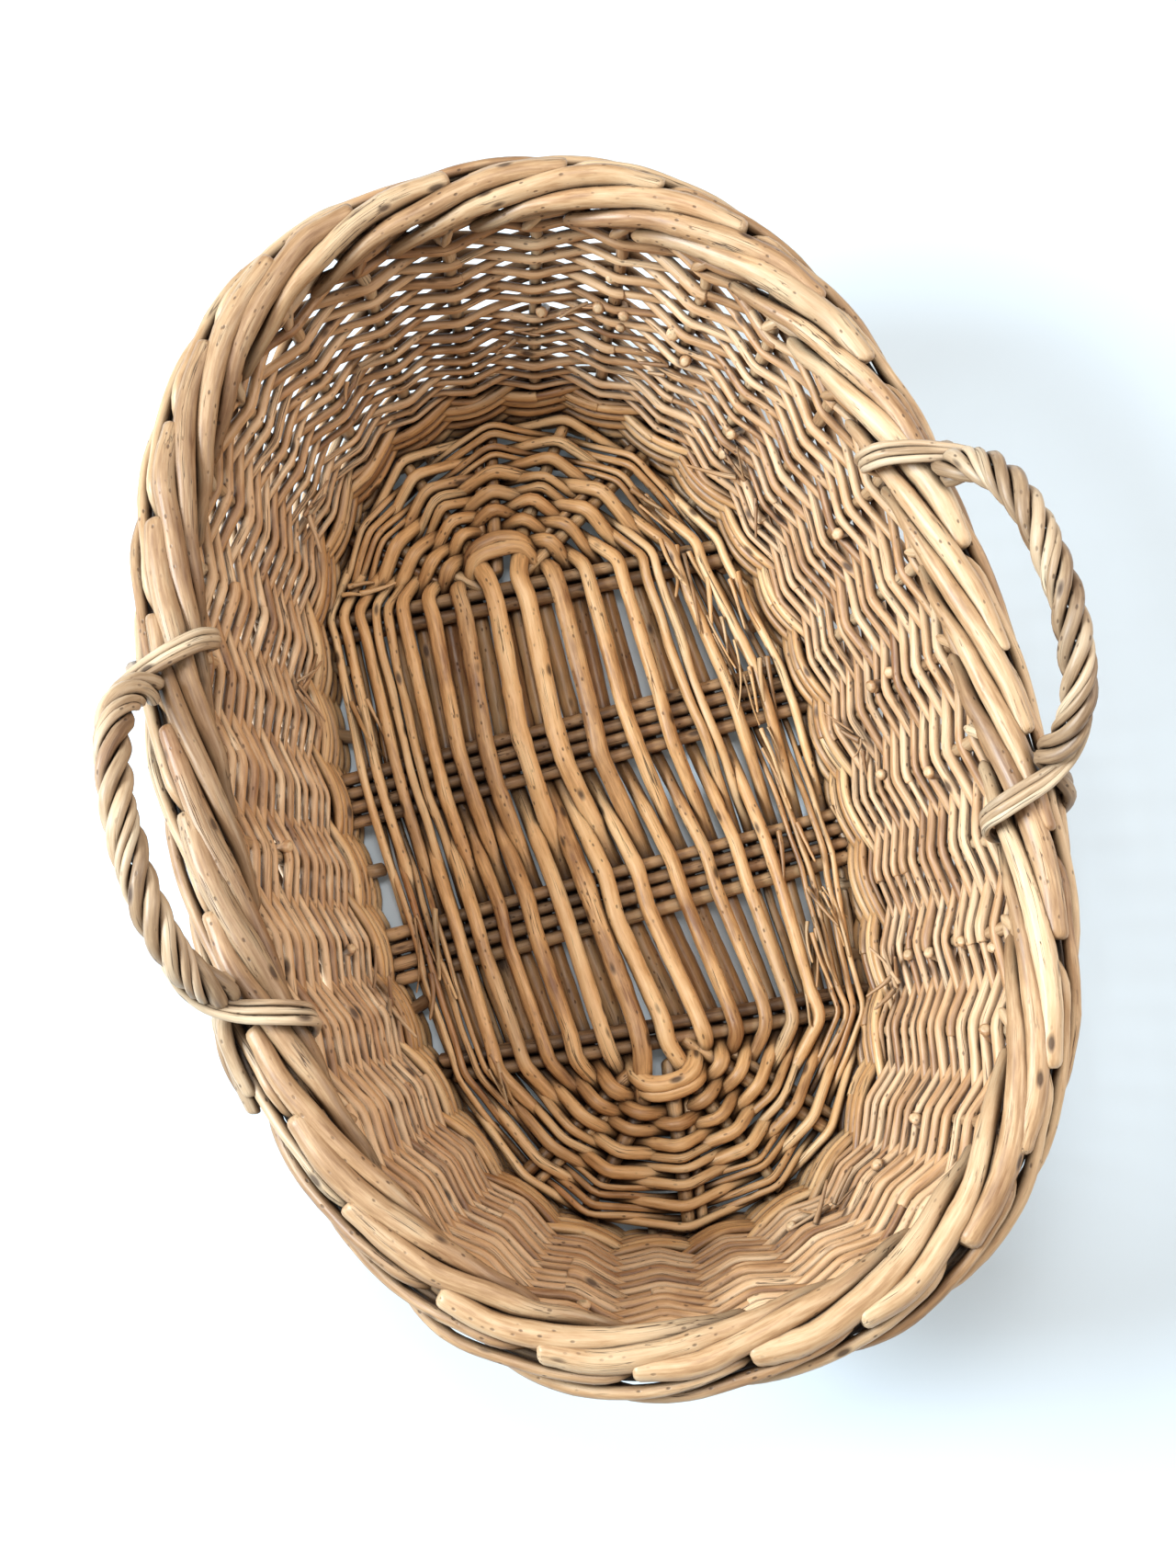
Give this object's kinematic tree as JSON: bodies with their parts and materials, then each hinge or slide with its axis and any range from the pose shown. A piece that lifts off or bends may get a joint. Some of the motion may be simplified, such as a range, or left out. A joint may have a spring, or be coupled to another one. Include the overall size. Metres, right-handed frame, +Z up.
{
  "type": "woven wicker basket",
  "caption": "Oval willow basket with a slatted base, a flared woven wall, a thick rod border and a rope-twist handle on each long side.",
  "frame": {"origin": "under the middle of the base, on the surface that the basket stands on", "axes": "+X along the basket, +Y to its left side, +Z up"},
  "size_m": [0.6, 0.4436, 0.2589],
  "materials": {
    "base_willow": "honey-coloured peeled willow rods, satin, with small knots",
    "stick_willow": "grey-brown aged willow sticks, dull",
    "wall_willow": "thin brown-tan willow weavers, satin",
    "border_willow": "thick pale tan willow rods with cut ends, satin",
    "handle_willow": "twisted grey-tan willow rods, dull satin"
  },
  "bodies": {
    "root": {"base_wale": "base_willow", "base_weave": "base_willow", "cross_stick_a1": "stick_willow", "cross_stick_a2": "stick_willow", "cross_stick_b1": "stick_willow", "cross_stick_b2": "stick_willow", "cross_stick_b3": "stick_willow", "cross_stick_b4": "stick_willow", "cross_stick_c1": "stick_willow", "cross_stick_c2": "stick_willow", "cross_stick_c3": "stick_willow", "cross_stick_c4": "stick_willow", "cross_stick_d1": "stick_willow", "cross_stick_d2": "stick_willow", "end_stick_back_centre": "stick_willow", "end_stick_back_left": "stick_willow", "end_stick_back_right": "stick_willow", "end_stick_front_centre": "stick_willow", "end_stick_front_left": "stick_willow", "end_stick_front_right": "stick_willow", "lashing_left_back": "handle_willow", "lashing_left_front": "handle_willow", "lashing_right_back": "handle_willow", "lashing_right_front": "handle_willow", "rod_border": "border_willow", "rope_handle_left": "handle_willow", "rope_handle_right": "handle_willow", "side_stake_01": "stick_willow", "side_stake_02": "stick_willow", "side_stake_03": "stick_willow", "side_stake_04": "stick_willow", "side_stake_05": "stick_willow", "side_stake_06": "stick_willow", "side_stake_07": "stick_willow", "side_stake_08": "stick_willow", "side_stake_09": "stick_willow", "side_stake_10": "stick_willow", "side_stake_11": "stick_willow", "side_stake_12": "stick_willow", "side_stake_13": "stick_willow", "side_stake_14": "stick_willow", "side_stake_15": "stick_willow", "side_stake_16": "stick_willow", "side_stake_17": "stick_willow", "side_stake_18": "stick_willow", "side_stake_19": "stick_willow", "side_stake_20": "stick_willow", "side_stake_21": "stick_willow", "side_stake_22": "stick_willow", "side_stake_23": "stick_willow", "side_stake_24": "stick_willow", "side_stake_25": "stick_willow", "side_stake_26": "stick_willow", "side_stake_27": "stick_willow", "side_stake_28": "stick_willow", "side_stake_29": "stick_willow", "side_stake_30": "stick_willow", "side_stake_31": "stick_willow", "side_stake_32": "stick_willow", "wall_weave": "wall_willow"}
  },
  "joints": []
}
